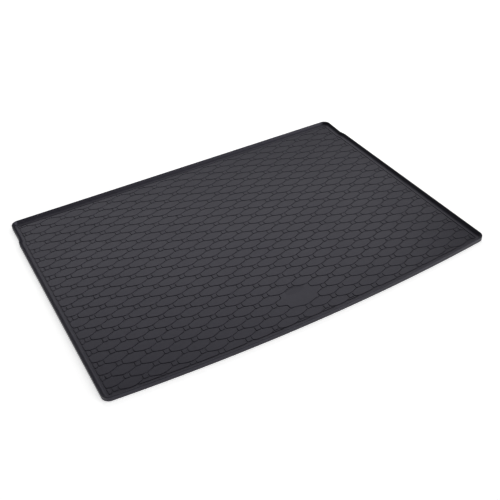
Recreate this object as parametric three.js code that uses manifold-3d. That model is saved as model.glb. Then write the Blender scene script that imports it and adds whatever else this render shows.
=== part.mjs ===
// Boot liner for a car, moulded in one piece of black rubber: a patterned floor inside a low rim.
// Millimetres, +Z up. The underside lies on Z = 0 and the origin is at the middle of the footprint.
// The width runs along X. The seat-back edge faces +Y, and the tailgate edge faces -Y and bows out.
import * as THREE from 'three';
import { mergeVertices } from 'three/addons/utils/BufferGeometryUtils.js';
import Module from 'manifold-3d';

// Outline in plan
const MAT_WIDTH = 1000;
const MAT_LENGTH = 722;
const TAILGATE_BOW = 25;
const CORNER_RADIUS = 19;
const SMALLEST_CORNER = 3;

// Step in each side wall, measured back from the seat-back edge
const STEP_START = 102;
const STEP_LENGTH = 22;
const STEP_DEPTH = 4;
const LEFT_CORNER_DEPTH = 4;
const RIGHT_CORNER_DEPTH = 1.5;

// Section of the rim and the floor
const RIM_HEIGHT = 12;
const LIP_WIDTH = 2.5;
const EDGE_RADIUS = 0.9;
const FLOOR_THICKNESS = 2.5;
const MARGIN_WIDTH = 3;
const BORDER_GROOVE_WIDTH = 2;
const BORDER_GROOVE_DEPTH = 1.3;

// Pattern of the floor: rows of long oval pads, with a small square between two ovals
const PAD_PITCH = 66.7;
const ROW_PITCH = 20.475;
const SQUARE_WIDTH = 13.2;
const WAVE_RISE = 3.5;
const GROOVE_WIDTH = 2.4;
const GROOVE_DEPTH = 1.1;

// Bare patch in the pattern, with its middle this far in from the middle of the tailgate edge
const PATCH_TO_TAILGATE = 90;

// Fineness of the curves
const CORNER_STEPS = 4;
const BOW_STEPS = 8;
const STEP_STEPS = 2;
const FILLET_STEPS = 3;

// How far cutting tools run past what they cut
const OVERCUT = 5;

// Values that follow from those above
const halfWidth = MAT_WIDTH / 2;
const seatEdge = MAT_LENGTH / 2;
const bowRadius = (halfWidth ** 2 + TAILGATE_BOW ** 2) / (2 * TAILGATE_BOW);
const bowCentreY = bowRadius - MAT_LENGTH / 2;
const filletRadius = RIM_HEIGHT - FLOOR_THICKNESS;
const trayInset = LIP_WIDTH + filletRadius;
const fieldInset = trayInset + MARGIN_WIDTH;
const patternInset = fieldInset + BORDER_GROOVE_WIDTH;
const grooveFloor = FLOOR_THICKNESS - GROOVE_DEPTH;
const blockBottom = (FLOOR_THICKNESS - BORDER_GROOVE_DEPTH) / 2;
const patchY = PATCH_TO_TAILGATE - MAT_LENGTH / 2;

// Half sizes of the pads, from the middle of each to the line at the bottom of the grooves
const squareHalfWidth = SQUARE_WIDTH / 2;
const squareHalfLength = ROW_PITCH / 2 - WAVE_RISE;
const ovalHalfLength = ROW_PITCH / 2 + WAVE_RISE;
const ovalHalfWidth = PAD_PITCH / 2 - squareHalfWidth;

// Half sizes of an oval's flat top
const topHalfWidth = ovalHalfWidth - GROOVE_WIDTH / 2;
const topHalfLength = ovalHalfLength - GROOVE_WIDTH / 2;
const topEndHalfLength = squareHalfLength - GROOVE_WIDTH / 2;

const wasm = await Module();
wasm.setup();

function solidOf(geometry) {
  const bare = geometry.clone();
  bare.deleteAttribute('normal');
  bare.deleteAttribute('uv');
  const merged = mergeVertices(bare);
  const vertProperties = new Float32Array(merged.attributes.position.array);
  const triVerts = new Uint32Array(merged.index.array);
  return new wasm.Manifold(new wasm.Mesh({ numProp: 3, vertProperties, triVerts }));
}

function geometryOf(solid) {
  const mesh = solid.getMesh();
  const geometry = new THREE.BufferGeometry();
  geometry.setAttribute('position', new THREE.BufferAttribute(mesh.vertProperties, 3));
  geometry.setIndex(new THREE.BufferAttribute(mesh.triVerts, 1));
  geometry.computeVertexNormals();
  return geometry;
}

function arcPoints(centreX, centreY, radius, startAngle, endAngle, steps) {
  const points = [];
  for (let i = 0; i <= steps; i++) {
    const angle = startAngle + ((endAngle - startAngle) * i) / steps;
    points.push(new THREE.Vector2(centreX + radius * Math.cos(angle), centreY + radius * Math.sin(angle)));
  }
  return points;
}

// One side of the outline, drawn for +X: the bowed edge, its corner, the stepped wall, the far corner
function sidePoints(inset, cornerDepth) {
  const radius = Math.max(CORNER_RADIUS - inset, SMALLEST_CORNER);
  const nearX = halfWidth - inset - radius;
  const nearY = bowCentreY - Math.sqrt((bowRadius - inset - radius) ** 2 - nearX ** 2);
  const bowEnd = Math.atan2(nearY - bowCentreY, nearX);
  const bow = arcPoints(0, bowCentreY, bowRadius - inset, -Math.PI / 2, bowEnd, BOW_STEPS);
  const nearCorner = arcPoints(nearX, nearY, radius, bowEnd, 0, CORNER_STEPS);
  const wall = [];
  for (let i = 0; i <= STEP_STEPS; i++) {
    const share = i / STEP_STEPS;
    const depth = (STEP_DEPTH * (1 - Math.cos(Math.PI * share))) / 2;
    const y = seatEdge - STEP_START + STEP_LENGTH * share;
    wall.push(new THREE.Vector2(halfWidth - inset - depth, y));
  }
  const farX = halfWidth - inset - cornerDepth - radius;
  const farCorner = arcPoints(farX, seatEdge - inset - radius, radius, 0, Math.PI / 2, CORNER_STEPS);
  return [...bow, ...nearCorner.slice(1), ...wall, ...farCorner];
}

// Outline of the liner, moved in by a distance that is the same all round
function outline(inset) {
  const right = sidePoints(inset, RIGHT_CORNER_DEPTH);
  const left = sidePoints(inset, LEFT_CORNER_DEPTH).slice(1).reverse();
  const mirrored = left.map((point) => new THREE.Vector2(-point.x, point.y));
  return new THREE.Shape([...right, ...mirrored]);
}

function prism(shape, bottom, top) {
  const geometry = new THREE.ExtrudeGeometry(shape, { depth: top - bottom, bevelEnabled: false });
  geometry.translate(0, 0, bottom);
  return solidOf(geometry);
}

// Slab of the full rim height, with its upper and lower edges broken
function slab() {
  const geometry = new THREE.ExtrudeGeometry(outline(EDGE_RADIUS), {
    depth: RIM_HEIGHT - 2 * EDGE_RADIUS,
    bevelThickness: EDGE_RADIUS,
    bevelSize: EDGE_RADIUS,
    bevelSegments: 1,
  });
  geometry.translate(0, 0, EDGE_RADIUS);
  return solidOf(geometry);
}

// Space above the floor: its rounded lower edge leaves the hollow curve inside the rim
function traySpace() {
  const geometry = new THREE.ExtrudeGeometry(outline(trayInset), {
    depth: OVERCUT,
    bevelThickness: filletRadius,
    bevelSize: filletRadius,
    bevelSegments: FILLET_STEPS,
  });
  geometry.translate(0, 0, RIM_HEIGHT);
  return solidOf(geometry);
}

function addTriangles(sheet, ...corners) {
  for (const corner of corners) {
    sheet.push(...corner);
  }
}

// Raised oval: six corners on its flat top, and eight on the line at the bottom of the grooves
function addOval(sheet, x, y) {
  const top = (dx, dy) => [x + dx, y + dy, FLOOR_THICKNESS];
  const low = (dx, dy) => [x + dx, y + dy, grooveFloor];
  for (const turn of [1, -1]) {
    const crown = top(0, turn * topHalfLength);
    const topRight = top(turn * topHalfWidth, turn * topEndHalfLength);
    const topLeft = top(-turn * topHalfWidth, turn * topEndHalfLength);
    const topBelow = top(turn * topHalfWidth, -turn * topEndHalfLength);
    const lowBelow = low(turn * ovalHalfWidth, -turn * squareHalfLength);
    const lowRight = low(turn * ovalHalfWidth, turn * squareHalfLength);
    const lowCrownRight = low(turn * squareHalfWidth, turn * ovalHalfLength);
    const lowCrownLeft = low(-turn * squareHalfWidth, turn * ovalHalfLength);
    const lowLeft = low(-turn * ovalHalfWidth, turn * squareHalfLength);
    addTriangles(sheet, lowBelow, lowRight, topRight);
    addTriangles(sheet, lowBelow, topRight, topBelow);
    addTriangles(sheet, lowRight, lowCrownRight, topRight);
    addTriangles(sheet, lowCrownRight, crown, topRight);
    addTriangles(sheet, lowCrownRight, lowCrownLeft, crown);
    addTriangles(sheet, lowCrownLeft, topLeft, crown);
    addTriangles(sheet, lowCrownLeft, lowLeft, topLeft);
    addTriangles(sheet, topRight, crown, topLeft);
    addTriangles(sheet, topRight, topLeft, topBelow);
  }
}

// Flat floor of the small square between two ovals
function addSquare(sheet, x, y) {
  const low = (dx, dy) => [x + dx * squareHalfWidth, y + dy * squareHalfLength, grooveFloor];
  addTriangles(sheet, low(1, -1), low(1, 1), low(-1, 1));
  addTriangles(sheet, low(1, -1), low(-1, 1), low(-1, -1));
}

// Closed block under a sheet of triangles: the sheet, a flat copy of it below, and walls round it
function blockUnder(sheet, bottom) {
  const loose = new THREE.BufferGeometry();
  loose.setAttribute('position', new THREE.Float32BufferAttribute(sheet, 3));
  const merged = mergeVertices(loose);
  const upper = Array.from(merged.attributes.position.array);
  const lower = upper.map((value, i) => (i % 3 === 2 ? bottom : value));
  const count = upper.length / 3;
  const faces = Array.from(merged.index.array);
  const edges = new Set();
  const index = [];
  for (let i = 0; i < faces.length; i += 3) {
    const [a, b, c] = faces.slice(i, i + 3);
    index.push(a, b, c, count + a, count + c, count + b);
    [[a, b], [b, c], [c, a]].forEach(([from, to]) => edges.add(`${from} ${to}`));
  }
  for (const edge of edges) {
    const [from, to] = edge.split(' ').map(Number);
    if (!edges.has(`${to} ${from}`)) {
      index.push(from, count + from, count + to, from, count + to, to);
    }
  }
  const block = new THREE.BufferGeometry();
  block.setAttribute('position', new THREE.Float32BufferAttribute([...upper, ...lower], 3));
  block.setIndex(index);
  return solidOf(block);
}

// Pattern over more than the whole floor: each row is half a pad along from the one before
function patternBlock() {
  const sheet = [];
  const firstRow = Math.floor((-seatEdge - patchY) / ROW_PITCH);
  const lastRow = Math.ceil((seatEdge - patchY) / ROW_PITCH);
  const columns = Math.ceil(halfWidth / PAD_PITCH);
  for (let row = firstRow; row <= lastRow; row++) {
    const shift = row % 2 === 0 ? 0 : 0.5;
    for (let column = -columns; column <= columns; column++) {
      const x = (column + shift) * PAD_PITCH;
      const y = patchY + row * ROW_PITCH;
      addSquare(sheet, x, y);
      addOval(sheet, x + PAD_PITCH / 2, y);
    }
  }
  return blockUnder(sheet, blockBottom);
}

// Bare patch: the four ovals round one square and the squares at their corners, run together
function patchShape() {
  const margin = GROOVE_WIDTH / 2;
  const ovalEnd = PAD_PITCH - squareHalfWidth - margin;
  const squareSide = PAD_PITCH / 2 + squareHalfWidth - margin;
  const squareTop = ROW_PITCH + squareHalfLength - margin;
  const quarter = [
    [ovalEnd, squareHalfLength],
    [squareSide, ovalHalfLength - margin],
    [squareSide, squareTop],
    [PAD_PITCH / 2 - squareHalfWidth, squareTop],
    [squareHalfWidth, ROW_PITCH + ovalHalfLength - margin],
  ];
  const back = [...quarter].reverse();
  const points = [
    ...quarter,
    ...back.map(([x, y]) => [-x, y]),
    ...quarter.map(([x, y]) => [-x, -y]),
    ...back.map(([x, y]) => [x, -y]),
  ];
  return new THREE.Shape(points.map(([x, y]) => new THREE.Vector2(x, patchY + y)));
}

function bootLiner() {
  const tray = slab().subtract(traySpace());
  const pocket = prism(outline(fieldInset), FLOOR_THICKNESS - BORDER_GROOVE_DEPTH, RIM_HEIGHT);
  const patternSpace = prism(outline(patternInset), 0, RIM_HEIGHT);
  const pattern = patternBlock().intersect(patternSpace);
  const patch = prism(patchShape(), blockBottom, FLOOR_THICKNESS);
  return tray.subtract(pocket).add(pattern).add(patch);
}

const rubber = new THREE.MeshStandardMaterial({ color: 0x28282c, roughness: 0.6, metalness: 0 });
const liner = new THREE.Mesh(geometryOf(bootLiner()), rubber);
liner.name = 'boot_liner';

const group = new THREE.Group();
group.add(liner);

export default group;
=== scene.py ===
# Studio scene of a black rubber car boot liner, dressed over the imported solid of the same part.
# Plan and section lengths are in millimetres, and turn into metres where the mesh is made.
import math

import bpy
from mathutils import Matrix, Vector
from mathutils.geometry import delaunay_2d_cdt


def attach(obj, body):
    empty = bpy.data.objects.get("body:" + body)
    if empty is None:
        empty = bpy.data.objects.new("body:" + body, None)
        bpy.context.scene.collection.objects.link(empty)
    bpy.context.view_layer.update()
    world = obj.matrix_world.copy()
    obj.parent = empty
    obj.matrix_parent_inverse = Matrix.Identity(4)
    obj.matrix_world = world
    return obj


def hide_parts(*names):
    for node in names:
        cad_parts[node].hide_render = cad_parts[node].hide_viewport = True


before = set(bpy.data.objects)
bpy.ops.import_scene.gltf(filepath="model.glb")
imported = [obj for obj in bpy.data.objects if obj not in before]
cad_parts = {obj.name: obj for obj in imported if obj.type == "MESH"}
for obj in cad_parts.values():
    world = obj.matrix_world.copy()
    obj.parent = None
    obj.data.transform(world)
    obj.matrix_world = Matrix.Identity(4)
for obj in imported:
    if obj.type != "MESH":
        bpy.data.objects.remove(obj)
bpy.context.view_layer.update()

MM = 0.001
RIGHT_ANGLE = math.pi / 2

# Outline in plan, the same as the solid's
MAT_WIDTH = 1000
MAT_LENGTH = 722
TAILGATE_BOW = 25
CORNER_RADIUS = 19
SMALLEST_CORNER = 3
STEP_START = 102
STEP_LENGTH = 22
STEP_DEPTH = 4
LEFT_CORNER_DEPTH = 4
RIGHT_CORNER_DEPTH = 1.5

# Section of the rim and the floor; the slant of the inner wall is from upright
RIM_HEIGHT = 12
LIP_WIDTH = 2.5
EDGE_RADIUS = 1.2
INNER_EDGE_RADIUS = 1.0
FLOOR_THICKNESS = 2.5
INNER_WALL_SLANT = math.radians(28)
MARGIN_WIDTH = 3
BORDER_GROOVE_WIDTH = 2
GROOVE_FLOOR = 1.3

# Pattern of the floor: rows of long oval pads, with a small square between two ovals
PAD_PITCH = 66.7
ROW_PITCH = 20.475
SQUARE_WIDTH = 13.2
WAVE_RISE = 3.5
PATCH_TO_TAILGATE = 90

# A pad's foot lies this far from the line of the groove, and its wall leans in before the rounded shoulder.
# The shoulder is wider on the pads that lie further in than the border can reach.
FOOT_INSET = 0.4
WALL_LEAN = 0.4
SHOULDER_RADIUS = 0.5
WIDE_SHOULDER = 0.9
BORDER_REACH = 52

# Rounding of a pad's corners in plan: gentle corners get the waves' radius, and slight bends none.
# No corner counts as sharper than this turn in radians, and no rounding takes more than this share of a side.
OVAL_ROUNDING = 5.0
SQUARE_ROUNDING = 1.6
WAVE_ROUNDING = 30.0
GENTLE_CORNER = math.radians(30)
UNROUNDED_BEND = math.radians(15)
SHARPEST_CORNER = 2.4
LARGEST_SHARE = 0.42
FEWEST_CORNERS = 3

# Clean-up of the pads that the border cuts off: nearest points, slightest bend, and least area over girth
POINT_GAP = 0.8
SLIGHT_BEND = math.radians(4)
THINNEST_PAD = 1.2

# Sunk bare oval in the patch
PLAQUE_INSET = 2.2
PLAQUE_DEPTH = 0.3

# The patch takes the place of the pads within this many rows and pitches of its middle.
PATCH_ROWS = 1
PATCH_PITCHES = 0.75

# Filling in of flat faces: only inside the outlines, with points this near taken as one
INSIDE_ONLY = 1
SAME_POINT = 1e-5

# Colours of the rubber, its worn edges and its sheen
DARK_RUBBER = (0.0100, 0.0094, 0.0138, 1)
PALE_RUBBER = (0.0128, 0.0120, 0.0176, 1)
WORN_RUBBER = (0.0240, 0.0230, 0.0290, 1)
SHEEN_TINT = (0.85, 0.82, 1.0, 1)

# Roughness of the rubber between its smoothest and roughest clouds, and its bumps in metres
SMOOTHEST = 0.37
ROUGHEST = 0.45
MOTTLE_HEIGHT = 0.0004
GRAIN_HEIGHT = 0.00012

# How much rubbing polishes an edge and shows its paler colour
RUBBED_POLISH = 0.06
RUBBED_PALENESS = 0.35

# Studio: the white walls fade into the ceiling between these elevations, in degrees
WALL_FADE = (3.5, 6)
CEILING_LIGHT = 0.1

# Soft lamps as elevation and azimuth in degrees, the azimuth from +X towards +Y, and strength.
# Off its middle, a lamp's light falls to this base to the power of (the angle's cosine - 1).
LAMPS = [(74, 10, 1.9), (11, 314, 6.0)]
LAMP_FALL_OFF = math.exp(20)

# Large softbox behind the liner, with its distance and its sides in metres
SOFTBOX_ELEVATION = 40
SOFTBOX_AZIMUTH = 68
SOFTBOX_DISTANCE = 2.3
SOFTBOX_SIZE = (2.8, 1.1)
SOFTBOX_STRENGTH = 1.66

# Floor, with its half width and how far it lies under the liner in metres
FLOOR_COLOUR = 0.85
FLOOR_GLOW = 0.63
FLOOR_REACH = 8
FLOOR_DROP = 0.0003

# Camera at the photograph's place, found from the liner's own straight edges; its lens and sensor in mm
CAMERA_PLACE = (-0.694, -1.364, 1.1669)
CAMERA_AIM = (-0.0116, -0.0624, 0)
CAMERA_ROLL = math.radians(-2.872)
CAMERA_LENS = 54.56
SENSOR_WIDTH = 36

# Fineness of the curves, and the angle from which an edge is shaded sharp
BOW_STEPS = 28
CORNER_STEPS = 10
STEP_STEPS = 8
FILLET_STEPS = 8
EDGE_STEPS = 3
MARGIN_STEPS = 2
SHOULDER_STEPS = 3
SHARP_EDGE = math.radians(50)

# Values that follow from those above
half_width = MAT_WIDTH / 2
seat_edge = MAT_LENGTH / 2
bow_radius = (half_width ** 2 + TAILGATE_BOW ** 2) / (2 * TAILGATE_BOW)
bow_centre_y = bow_radius - MAT_LENGTH / 2
rim_rise = RIM_HEIGHT - FLOOR_THICKNESS
tray_inset = LIP_WIDTH + rim_rise
slant_cos, slant_sin = math.cos(INNER_WALL_SLANT), math.sin(INNER_WALL_SLANT)
fillet_radius = rim_rise * (slant_cos - slant_sin) / (1 - slant_sin)
field_inset = tray_inset + MARGIN_WIDTH
pattern_inset = field_inset + BORDER_GROOVE_WIDTH
patch_y = PATCH_TO_TAILGATE - MAT_LENGTH / 2
square_half_width = SQUARE_WIDTH / 2
square_half_length = ROW_PITCH / 2 - WAVE_RISE
oval_half_length = ROW_PITCH / 2 + WAVE_RISE
oval_half_width = PAD_PITCH / 2 - square_half_width


def angles(start, end, steps):
    """Angles from the start to the end, in equal steps."""
    return [start + (end - start) * i / steps for i in range(steps + 1)]


def arc_points(centre_x, centre_y, radius, start, end, steps):
    points = []
    for angle in angles(start, end, steps):
        points.append((centre_x + radius * math.cos(angle), centre_y + radius * math.sin(angle)))
    return points


def side_points(inset, corner_depth):
    """One side of the outline, drawn for +X: the bowed edge, its corner, the stepped wall, the far corner."""
    radius = max(CORNER_RADIUS - inset, SMALLEST_CORNER)
    near_x = half_width - inset - radius
    near_y = bow_centre_y - math.sqrt((bow_radius - inset - radius) ** 2 - near_x ** 2)
    bow_end = math.atan2(near_y - bow_centre_y, near_x)
    bow = arc_points(0, bow_centre_y, bow_radius - inset, -RIGHT_ANGLE, bow_end, BOW_STEPS)
    near_corner = arc_points(near_x, near_y, radius, bow_end, 0, CORNER_STEPS)
    wall = []
    for i in range(STEP_STEPS + 1):
        share = i / STEP_STEPS
        depth = STEP_DEPTH * (1 - math.cos(math.pi * share)) / 2
        wall.append((half_width - inset - depth, seat_edge - STEP_START + STEP_LENGTH * share))
    far_x = half_width - inset - corner_depth - radius
    far_corner = arc_points(far_x, seat_edge - inset - radius, radius, 0, RIGHT_ANGLE, CORNER_STEPS)
    return bow + near_corner[1:] + wall + far_corner


def outline(inset):
    """Outline of the liner, anticlockwise, moved in by a distance that is the same all round."""
    right = side_points(inset, RIGHT_CORNER_DEPTH)
    left = side_points(inset, LEFT_CORNER_DEPTH)[1:]
    return right + [(-x, y) for x, y in reversed(left)]


class Shell:
    """Points and faces of one mesh, gathered ring by ring."""

    def __init__(self):
        self.points = []
        self.wear = []
        self.faces = []

    def ring(self, points, height, wear=0.0):
        first = len(self.points)
        self.points += [(x, y, height) for x, y in points]
        self.wear += [wear] * len(points)
        return list(range(first, len(self.points)))

    def bridge(self, outer, inner):
        for i in range(len(outer)):
            j = (i + 1) % len(outer)
            self.faces.append((outer[i], outer[j], inner[j], inner[i]))


def outer_section():
    """Outer side of the rim with its two rounded edges, as (inset, height, wear)."""
    section = []
    for angle in angles(0, RIGHT_ANGLE, EDGE_STEPS):
        section.append((EDGE_RADIUS * (1 - math.sin(angle)), EDGE_RADIUS * (1 - math.cos(angle)), 0))
    for angle in angles(0, RIGHT_ANGLE, EDGE_STEPS):
        inset = EDGE_RADIUS * (1 - math.cos(angle))
        section.append((inset, RIM_HEIGHT - EDGE_RADIUS * (1 - math.sin(angle)), 1))
    return section


def inner_section():
    """Inner side of the rim: rounded lip, slanting wall and the fillet that runs into the floor."""
    section = []
    lip_turn = RIGHT_ANGLE - INNER_WALL_SLANT
    lip_end = LIP_WIDTH - INNER_EDGE_RADIUS * math.tan(lip_turn / 2)
    for angle in angles(0, lip_turn, EDGE_STEPS):
        inset = lip_end + INNER_EDGE_RADIUS * math.sin(angle)
        height = RIM_HEIGHT - INNER_EDGE_RADIUS * (1 - math.cos(angle))
        section.append((inset, height, 1 - angle / lip_turn))
    for angle in angles(INNER_WALL_SLANT, RIGHT_ANGLE, FILLET_STEPS):
        inset = tray_inset - fillet_radius * math.cos(angle)
        section.append((inset, FLOOR_THICKNESS + fillet_radius * (1 - math.sin(angle)), 0))
    return section


def margin_section():
    """Shoulder of the plain margin and the foot of the border groove."""
    section = []
    for angle in angles(0, RIGHT_ANGLE, MARGIN_STEPS):
        inset = field_inset - SHOULDER_RADIUS * (1 - math.sin(angle))
        section.append((inset, FLOOR_THICKNESS - SHOULDER_RADIUS * (1 - math.cos(angle)), 1))
    section.append((field_inset + WALL_LEAN, GROOVE_FLOOR, 0))
    return section


def add_rim(shell):
    """Underside and rim; gives the ring at the foot of the border groove."""
    section = outer_section() + inner_section() + margin_section()
    rings = [shell.ring(outline(inset), height, wear) for inset, height, wear in section]
    for outer, inner in zip(rings, rings[1:]):
        shell.bridge(outer, inner)
    shell.faces.append(tuple(reversed(rings[0])))
    return rings[-1]


def clipped(points, sides):
    """Part of a closed outline on the inner side of each straight line (normal x, normal y, distance)."""
    for nx, ny, distance in sides:
        kept = []
        for (ax, ay), (bx, by) in zip(points, points[1:] + points[:1]):
            a = nx * ax + ny * ay - distance
            b = nx * bx + ny * by - distance
            if a <= 0:
                kept.append((ax, ay))
            if a * b < 0:
                share = a / (a - b)
                kept.append((ax + (bx - ax) * share, ay + (by - ay) * share))
        points = kept
    return points


def spaced(points):
    """The outline without points that lie very near to the one before."""
    kept = []
    for x, y in points:
        if not kept or math.dist(kept[-1], (x, y)) > POINT_GAP:
            kept.append((x, y))
    if len(kept) > 1 and math.dist(kept[-1], kept[0]) <= POINT_GAP:
        kept.pop()
    return kept


def straightened(points):
    """The outline without the points at which it hardly bends."""
    kept = []
    for i, point in enumerate(points):
        back = Vector(points[i - 1]) - Vector(point)
        ahead = Vector(points[(i + 1) % len(points)]) - Vector(point)
        if math.pi - back.angle(ahead) > SLIGHT_BEND:
            kept.append(point)
    return kept


def rounded(points, radius):
    """The outline with each corner rounded by three points; slight bends stay as they are."""
    result = []
    for i, point in enumerate(points):
        corner = Vector(point)
        back = Vector(points[i - 1]) - corner
        ahead = Vector(points[(i + 1) % len(points)]) - corner
        turn = math.pi - back.angle(ahead)
        if turn < UNROUNDED_BEND:
            result.append(point)
            continue
        wide = WAVE_ROUNDING if turn < GENTLE_CORNER else radius
        tangent = wide * math.tan(min(turn, SHARPEST_CORNER) / 2)
        reach = min(tangent, LARGEST_SHARE * back.length, LARGEST_SHARE * ahead.length)
        start = corner + back.normalized() * reach
        end = corner + ahead.normalized() * reach
        result += [tuple(start), tuple(start / 4 + corner / 2 + end / 4), tuple(end)]
    return result


def moved_in(points, distance):
    """The outline with each side moved in by the distance."""
    result = []
    for i, point in enumerate(points):
        corner = Vector(point)
        along_a = (corner - Vector(points[i - 1])).normalized()
        along_b = (Vector(points[(i + 1) % len(points)]) - corner).normalized()
        normal = Vector((-along_a.y - along_b.y, along_a.x + along_b.x))
        result.append(tuple(corner + normal * distance / (1 + along_a.dot(along_b))))
    return result


def is_thick_enough(points):
    """Tells whether a pad that the border cuts off is more than a sliver."""
    if len(points) < FEWEST_CORNERS:
        return False
    area = 0
    length = 0
    for (ax, ay), (bx, by) in zip(points, points[1:] + points[:1]):
        area += (ax * by - bx * ay) / 2
        length += math.dist((ax, ay), (bx, by))
    return area / length > THINNEST_PAD


def pad_section(shoulder):
    """A pad from its foot up to its flat top, as (inset, height, wear)."""
    section = [(0, GROOVE_FLOOR, 0)]
    for angle in angles(0, RIGHT_ANGLE, SHOULDER_STEPS):
        inset = WALL_LEAN + shoulder * (1 - math.cos(angle))
        section.append((inset, FLOOR_THICKNESS - SHOULDER_RADIUS * (1 - math.sin(angle)), 1))
    return section


def add_walls(shell, foot, shoulder):
    """Wall and shoulder of a raised pad over a closed outline; gives the rings of its foot and its top."""
    rings = [shell.ring(moved_in(foot, inset), height, wear) for inset, height, wear in pad_section(shoulder)]
    for lower, upper in zip(rings, rings[1:]):
        shell.bridge(lower, upper)
    return rings[0], rings[-1]


def fill_between(shell, border, holes):
    """Flat faces inside the border ring, around the rings of the holes."""
    points = list(border)
    loops = [list(range(len(border)))]
    for hole in holes:
        loops.append(list(range(len(points), len(points) + len(hole))))
        points += hole
    places = [Vector(shell.points[index][:2]) for index in points]
    found = delaunay_2d_cdt(places, [], loops, INSIDE_ONLY, SAME_POINT, True)
    _, _, triangles, origins, _, owners = found
    for triangle, owner in zip(triangles, owners):
        if list(owner) == [0]:
            shell.faces.append(tuple(points[origins[corner][0]] for corner in triangle))


def square_sides(x, y):
    """Sides of a square pad's foot, as lines for clipped()."""
    sides = []
    for turn in (1, -1):
        sides.append((turn, 0, turn * x + square_half_width - FOOT_INSET))
        sides.append((0, turn, turn * y + square_half_length - FOOT_INSET))
    return sides


def oval_sides(x, y):
    """Sides of an oval pad's foot, as lines for clipped(): two ends, two flanks and four slanting sides."""
    normal = Vector((oval_half_length - square_half_length, oval_half_width - square_half_width)).normalized()
    reach = normal.x * oval_half_width + normal.y * square_half_length
    sides = []
    for turn in (1, -1):
        sides.append((turn, 0, turn * x + oval_half_width - FOOT_INSET))
        sides.append((0, turn, turn * y + oval_half_length - FOOT_INSET))
        for side in (1, -1):
            nx = turn * normal.x
            ny = side * normal.y
            sides.append((nx, ny, nx * x + ny * y + reach - FOOT_INSET))
    return sides


def patch_outline():
    """Bare patch: the four ovals round one square and the squares at their corners, run together."""
    oval_end = PAD_PITCH - square_half_width - FOOT_INSET
    square_side = PAD_PITCH / 2 + square_half_width - FOOT_INSET
    square_top = ROW_PITCH + square_half_length - FOOT_INSET
    quarter = [
        (oval_end, square_half_length),
        (square_side, oval_half_length - FOOT_INSET),
        (square_side, square_top),
        (PAD_PITCH / 2 - square_half_width, square_top),
        (square_half_width, ROW_PITCH + oval_half_length - FOOT_INSET),
    ]
    points = quarter + [(-x, y) for x, y in reversed(quarter)]
    points += [(-x, -y) for x, y in quarter] + [(x, -y) for x, y in reversed(quarter)]
    return [(x, patch_y + y) for x, y in points]


def add_patch(shell, field):
    """Smooth patch with a shallow bare oval sunk in its upper part; gives the ring of its foot."""
    foot, top = add_walls(shell, rounded(patch_outline(), OVAL_ROUNDING), WIDE_SHOULDER)
    oval = rounded(clipped(field, oval_sides(0, patch_y + ROW_PITCH)), OVAL_ROUNDING)
    brim = shell.ring(moved_in(oval, PLAQUE_INSET), FLOOR_THICKNESS, 1)
    plaque = shell.ring(moved_in(oval, PLAQUE_INSET + PLAQUE_DEPTH), FLOOR_THICKNESS - PLAQUE_DEPTH)
    fill_between(shell, top, [brim])
    shell.bridge(brim, plaque)
    shell.faces.append(tuple(plaque))
    return foot


def is_in_patch(row, x):
    """Tells whether a pad is one of those that run together in the bare patch."""
    return abs(row) <= PATCH_ROWS and abs(x) < PATCH_PITCHES * PAD_PITCH


def is_clear_of_border(x, y):
    """Tells whether a pad lies further in than the border can reach."""
    return abs(x) < half_width - BORDER_REACH and abs(y) < seat_edge - BORDER_REACH


def add_pads(shell, field):
    """Ovals and squares, cut off where the field's border crosses them; gives the rings of their feet."""
    feet = []
    first_row = math.floor((-seat_edge - patch_y) / ROW_PITCH)
    last_row = math.ceil((seat_edge - patch_y) / ROW_PITCH)
    columns = math.ceil(half_width / PAD_PITCH)
    for row in range(first_row, last_row + 1):
        y = patch_y + row * ROW_PITCH
        shift = 0 if row % 2 == 0 else 0.5
        for column in range(-columns, columns + 1):
            x = (column + shift) * PAD_PITCH
            shapes = [
                (x, square_sides(x, y), SQUARE_ROUNDING),
                (x + PAD_PITCH / 2, oval_sides(x + PAD_PITCH / 2, y), OVAL_ROUNDING),
            ]
            for middle, sides, rounding in shapes:
                pad = straightened(spaced(clipped(field, sides)))
                if is_thick_enough(pad) and not is_in_patch(row, middle):
                    shoulder = WIDE_SHOULDER if is_clear_of_border(middle, y) else SHOULDER_RADIUS
                    foot, top = add_walls(shell, rounded(pad, rounding), shoulder)
                    shell.faces.append(tuple(top))
                    feet.append(foot)
    return feet


def liner_mesh():
    """The whole liner as one closed mesh, with the wear of each point as an attribute."""
    shell = Shell()
    field = outline(pattern_inset - WALL_LEAN)
    border = add_rim(shell)
    feet = [add_patch(shell, field)] + add_pads(shell, field)
    fill_between(shell, border, feet)
    mesh = bpy.data.meshes.new("liner")
    mesh.from_pydata([(x * MM, y * MM, z * MM) for x, y, z in shell.points], [], shell.faces)
    wear = mesh.attributes.new("wear", "FLOAT", "POINT")
    wear.data.foreach_set("value", shell.wear)
    mesh.shade_smooth()
    mesh.set_sharp_from_angle(angle=SHARP_EDGE)
    return mesh


def add_object(name, data):
    made = bpy.data.objects.new(name, data)
    bpy.context.scene.collection.objects.link(made)
    return made


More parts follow.
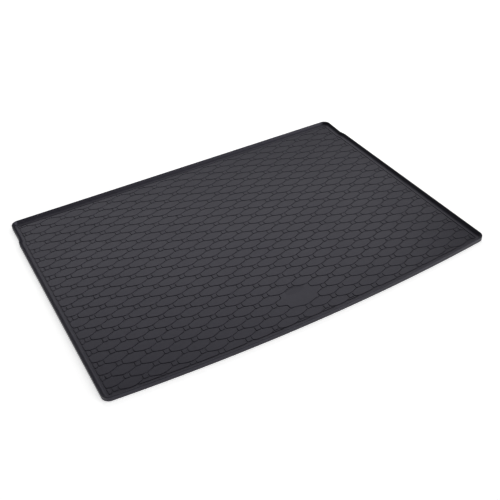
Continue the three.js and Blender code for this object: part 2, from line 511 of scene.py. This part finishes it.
class Nodes:
    """Short calls for a material's or the world's node tree."""

    def __init__(self, tree):
        tree.nodes.clear()
        self.tree = tree

    def add(self, kind, inputs=None, **settings):
        node = self.tree.nodes.new(kind)
        for name, value in settings.items():
            setattr(node, name, value)
        for name, value in (inputs or {}).items():
            if isinstance(value, bpy.types.NodeSocket):
                self.tree.links.new(value, node.inputs[name])
            else:
                node.inputs[name].default_value = value
        return node

    def noise(self, place, scale, detail, roughness):
        inputs = {"Vector": place, "Scale": scale, "Detail": detail, "Roughness": roughness}
        return self.add("ShaderNodeTexNoise", inputs).outputs["Fac"]

    def spread(self, value, low, high, from_low=0.3, from_high=0.7):
        """The value's usual range in a noise, or another one, spread over low to high."""
        inputs = {"Value": value, "From Min": from_low, "From Max": from_high, "To Min": low, "To Max": high}
        return self.add("ShaderNodeMapRange", inputs).outputs["Result"]

    def calculate(self, operation, a, b):
        return self.add("ShaderNodeMath", {0: a, 1: b}, operation=operation).outputs["Value"]

    def mix(self, share, a, b):
        """Mix of two colours; the numbers are the node's own sockets for colours."""
        return self.add("ShaderNodeMix", {0: share, 6: a, 7: b}, data_type="RGBA").outputs[2]

    def bump(self, height, distance, strength, below=None):
        inputs = {"Height": height, "Distance": distance, "Strength": strength}
        if below:
            inputs["Normal"] = below
        return self.add("ShaderNodeBump", inputs).outputs["Normal"]


def rubber_material():
    """Black moulded rubber: matt, finely grained, a little cloudy, and rubbed smoother on raised edges."""
    material = bpy.data.materials.new("black_rubber")
    material.use_nodes = True
    nodes = Nodes(material.node_tree)
    place = nodes.add("ShaderNodeTexCoord").outputs["Object"]
    cloud = nodes.noise(place, scale=7, detail=4, roughness=0.6)
    mottle = nodes.noise(place, scale=90, detail=3, roughness=0.6)
    grain = nodes.noise(place, scale=1400, detail=2, roughness=0.6)
    wear = nodes.add("ShaderNodeAttribute", attribute_name="wear").outputs["Fac"]
    rubbed = nodes.calculate("MULTIPLY", wear, nodes.spread(mottle, 0.2, 1.0))
    colour = nodes.mix(nodes.spread(cloud, 0, 1), DARK_RUBBER, PALE_RUBBER)
    colour = nodes.mix(nodes.calculate("MULTIPLY", rubbed, RUBBED_PALENESS), colour, WORN_RUBBER)
    clouding = nodes.calculate("MULTIPLY", nodes.calculate("ADD", cloud, mottle), 0.5)
    roughness = nodes.spread(clouding, SMOOTHEST, ROUGHEST)
    roughness = nodes.calculate("SUBTRACT", roughness, nodes.calculate("MULTIPLY", rubbed, RUBBED_POLISH))
    normal = nodes.bump(mottle, MOTTLE_HEIGHT, strength=0.25)
    normal = nodes.bump(grain, GRAIN_HEIGHT, strength=0.5, below=normal)
    shader = nodes.add("ShaderNodeBsdfPrincipled", {
        "Base Color": colour,
        "Roughness": roughness,
        "Normal": normal,
        "Specular IOR Level": 0.4,
        "Specular Tint": SHEEN_TINT,
    })
    nodes.add("ShaderNodeOutputMaterial", {"Surface": shader.outputs["BSDF"]})
    return material


def seen_share(nodes):
    """1 for rays from the camera and for rays that metal or glass sends on, else 0."""
    rays = nodes.add("ShaderNodeLightPath").outputs
    mirrored = nodes.calculate("MAXIMUM", rays["Is Glossy Ray"], rays["Is Transmission Ray"])
    return nodes.calculate("MAXIMUM", rays["Is Camera Ray"], mirrored)


def floor_material():
    """White floor that keeps the liner's shadow."""
    material = bpy.data.materials.new("white_floor")
    material.use_nodes = True
    nodes = Nodes(material.node_tree)
    diffuse = nodes.add("ShaderNodeBsdfDiffuse", {"Color": (FLOOR_COLOUR, FLOOR_COLOUR, FLOOR_COLOUR, 1)})
    strength = nodes.calculate("MULTIPLY", seen_share(nodes), FLOOR_GLOW)
    glow = nodes.add("ShaderNodeEmission", {"Strength": strength})
    both = nodes.add("ShaderNodeAddShader", {0: diffuse.outputs["BSDF"], 1: glow.outputs["Emission"]})
    nodes.add("ShaderNodeOutputMaterial", {"Surface": both.outputs["Shader"]})
    return material


def add_floor():
    mesh = bpy.data.meshes.new("floor")
    corners = [(x * FLOOR_REACH, y * FLOOR_REACH, 0) for x, y in ((-1, -1), (1, -1), (1, 1), (-1, 1))]
    mesh.from_pydata(corners, [], [(0, 1, 2, 3)])
    mesh.materials.append(floor_material())
    floor = add_object("floor", mesh)
    floor.location.z = -FLOOR_DROP


def towards(elevation, azimuth):
    """Direction at an elevation and an azimuth in degrees."""
    up, turn = math.radians(elevation), math.radians(azimuth)
    return Vector((math.cos(up) * math.cos(turn), math.cos(up) * math.sin(turn), math.sin(up)))


def set_world():
    """Studio with white walls up to a low height, a dimmer ceiling and round soft lamps."""
    world = bpy.data.worlds.new("studio")
    bpy.context.scene.world = world
    world.use_nodes = True
    nodes = Nodes(world.node_tree)
    direction = nodes.add("ShaderNodeTexCoord").outputs["Generated"]
    height = nodes.add("ShaderNodeSeparateXYZ", {"Vector": direction}).outputs["Z"]
    low, high = (math.sin(math.radians(elevation)) for elevation in WALL_FADE)
    strength = nodes.spread(height, 1, CEILING_LIGHT, low, high)
    for elevation, azimuth, power in LAMPS:
        inputs = {0: direction, 1: towards(elevation, azimuth)}
        facing = nodes.add("ShaderNodeVectorMath", inputs, operation="DOT_PRODUCT")
        off_axis = nodes.calculate("SUBTRACT", facing.outputs["Value"], 1)
        glow = nodes.calculate("POWER", LAMP_FALL_OFF, off_axis)
        strength = nodes.calculate("ADD", strength, nodes.calculate("MULTIPLY", glow, power))
    background = nodes.add("ShaderNodeBackground", {"Color": (1, 1, 1, 1), "Strength": strength})
    nodes.add("ShaderNodeOutputWorld", {"Surface": background.outputs["Background"]})


def add_softbox():
    """Lamp that faces the liner; its strength is the brightness of its own surface."""
    data = bpy.data.lights.new("softbox", "AREA")
    data.shape = "RECTANGLE"
    data.size, data.size_y = SOFTBOX_SIZE
    data.energy = SOFTBOX_STRENGTH * math.pi * data.size * data.size_y
    lamp = add_object("softbox", data)
    lamp.location = towards(SOFTBOX_ELEVATION, SOFTBOX_AZIMUTH) * SOFTBOX_DISTANCE
    lamp.rotation_mode = "QUATERNION"
    lamp.rotation_quaternion = (-lamp.location).to_track_quat("-Z", "Y")


def add_camera():
    """Camera that looks at its aim, rolled about the line of sight."""
    data = bpy.data.cameras.new("camera")
    data.sensor_width = SENSOR_WIDTH
    data.lens = CAMERA_LENS
    camera = add_object("camera", data)
    place = Vector(CAMERA_PLACE)
    forward = (Vector(CAMERA_AIM) - place).normalized()
    level = forward.cross(Vector((0, 0, 1))).normalized()
    right = level * math.cos(CAMERA_ROLL) + level.cross(forward) * math.sin(CAMERA_ROLL)
    turned = Matrix((right, right.cross(forward), -forward)).transposed()
    camera.matrix_world = Matrix.Translation(place) @ turned.to_4x4()
    bpy.context.scene.camera = camera


add_camera()
bpy.context.scene.view_settings.view_transform = "Standard"

liner = add_object("liner", liner_mesh())
liner.data.materials.append(rubber_material())
normals = liner.modifiers.new("normals", "WEIGHTED_NORMAL")
normals.keep_sharp = True
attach(liner, "root")
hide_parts("boot_liner")

add_floor()
set_world()
add_softbox()
